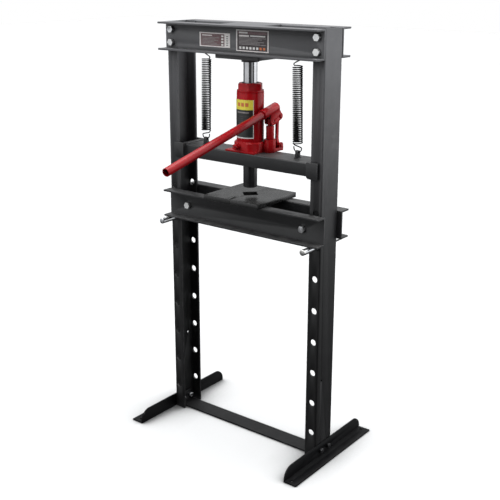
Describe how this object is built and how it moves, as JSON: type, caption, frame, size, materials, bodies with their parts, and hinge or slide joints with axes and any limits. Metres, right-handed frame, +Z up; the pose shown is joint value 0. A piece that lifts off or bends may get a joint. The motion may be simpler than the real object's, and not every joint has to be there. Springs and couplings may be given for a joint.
{
  "type": "hydraulic shop press",
  "caption": "H-frame workshop press: channel uprights on foot angles, pinned bed with arbor plates, and a bottle jack that drives a spring-returned beam and ram down.",
  "frame": {"origin": "on the floor, at the centre of the four anchor holes in the feet", "axes": "+X to the right as seen from the front, +Y to the rear (the pump handle points to the front, -Y), +Z up"},
  "size_m": [0.611, 0.5981, 1.193],
  "materials": {
    "upright_paint": "satin black paint",
    "base_paint": "satin black paint",
    "head_paint": "satin black paint",
    "bed_paint": "satin black paint",
    "beam_paint": "satin black paint",
    "plate_black": "black oxide, matt",
    "ram_black": "black, satin",
    "zinc_fasteners": "bright zinc plate",
    "pin_steel": "bright zinc plate",
    "spring_steel": "black phosphate",
    "head_label_left": "printed vinyl film",
    "head_label_right": "printed vinyl film",
    "tank_label": "printed vinyl film",
    "jack_red": "gloss red enamel",
    "chromed_rod": "hard chrome, polished",
    "bright_steel": "turned steel",
    "black_rubber": "matt"
  },
  "bodies": {
    "frame": {"upright_left": "upright_paint", "upright_right": "upright_paint", "foot_left": "base_paint", "foot_right": "base_paint", "foot_bolts": "zinc_fasteners", "foot_nuts": "zinc_fasteners", "base_crossbar": "base_paint", "head_channel_front": "head_paint", "head_channel_rear": "head_paint", "head_top_plate": "head_paint", "head_pressure_plate": "head_paint", "ram_cup": "head_paint", "head_bolts": "zinc_fasteners", "head_nuts": "zinc_fasteners", "spring_hangers": "zinc_fasteners", "return_spring_left": "spring_steel", "return_spring_right": "spring_steel", "head_label_left": "head_label_left", "head_label_right": "head_label_right", "jack_piston_rod": "chromed_rod", "piston_seal": "black_rubber", "extension_screw": "bright_steel"},
    "bed": {"bed_channel_front": "bed_paint", "bed_channel_rear": "bed_paint", "bed_spacers": "bed_paint", "bed_bolts": "zinc_fasteners", "bed_nuts": "zinc_fasteners"},
    "beam_and_jack": {"moving_beam": "beam_paint", "guide_bracket_left": "beam_paint", "guide_bracket_right": "beam_paint", "spring_lugs": "beam_paint", "press_ram": "ram_black", "jack_base": "jack_red", "jack_tank": "jack_red", "jack_cylinder": "bright_steel", "jack_cap": "jack_red", "wiper_seal": "black_rubber", "tank_label": "tank_label", "filler_plug": "black_rubber", "pump_barrel": "jack_red", "pump_link": "jack_red", "link_pins": "bright_steel"},
    "arbor_plate_left": {"arbor_plate_left": "plate_black"},
    "arbor_plate_right": {"arbor_plate_right": "plate_black"},
    "support_pin_left": {"support_pin_left": "pin_steel"},
    "support_pin_right": {"support_pin_right": "pin_steel"},
    "pump_lever": {"handle_socket": "jack_red"},
    "handle": {"pump_handle": "jack_red"},
    "plunger": {"pump_plunger": "chromed_rod", "plunger_pin": "bright_steel"},
    "release_valve": {"release_valve": "jack_red"}
  },
  "joints": [
    {"name": "press_stroke", "type": "slide", "parent": "frame", "child": "beam_and_jack", "axis": [0, 0, -1], "range_m": [-0.045, 0.055], "stiffness_N_per_m": 2400, "springref_m": -0.03544, "deforming": ["return_spring_left", "return_spring_right"]},
    {"name": "bed_lift", "type": "slide", "parent": "frame", "child": "bed", "axis": [0, 0, 1], "range_m": [0, 0.012]},
    {"name": "plate_slide_left", "type": "slide", "parent": "bed", "child": "arbor_plate_left", "axis": [-1, 0, 0], "range_m": [0, 0.06]},
    {"name": "plate_slide_right", "type": "slide", "parent": "bed", "child": "arbor_plate_right", "axis": [1, 0, 0], "range_m": [0, 0.06]},
    {"name": "pin_pull_left", "type": "slide", "parent": "frame", "child": "support_pin_left", "axis": [0, -1, 0], "range_m": [0, 0.17]},
    {"name": "pin_pull_right", "type": "slide", "parent": "frame", "child": "support_pin_right", "axis": [0, -1, 0], "range_m": [0, 0.17]},
    {"name": "pump_lever", "type": "hinge", "parent": "beam_and_jack", "child": "pump_lever", "pos_m": [0.054, 0.052, 0.9465], "axis": [-1, 0, 0], "range_deg": [0, 36]},
    {"name": "plunger_stroke", "type": "slide", "parent": "beam_and_jack", "child": "plunger", "axis": [0, 0, 1], "range_m": [0, 0.0225]},
    {"name": "handle_pull", "type": "slide", "parent": "pump_lever", "child": "handle", "axis": [0, -0.9736, -0.2284], "range_m": [0, 0.06]},
    {"name": "valve_turn", "type": "hinge", "parent": "beam_and_jack", "child": "release_valve", "pos_m": [-0.012, -0.047, 0.867], "axis": [0, 1, 0], "range_deg": [0, 360]}
  ],
  "couplings": [
    {"joint": "plunger_stroke", "follows": "pump_lever", "m_per_rad": 0.03477}
  ]
}
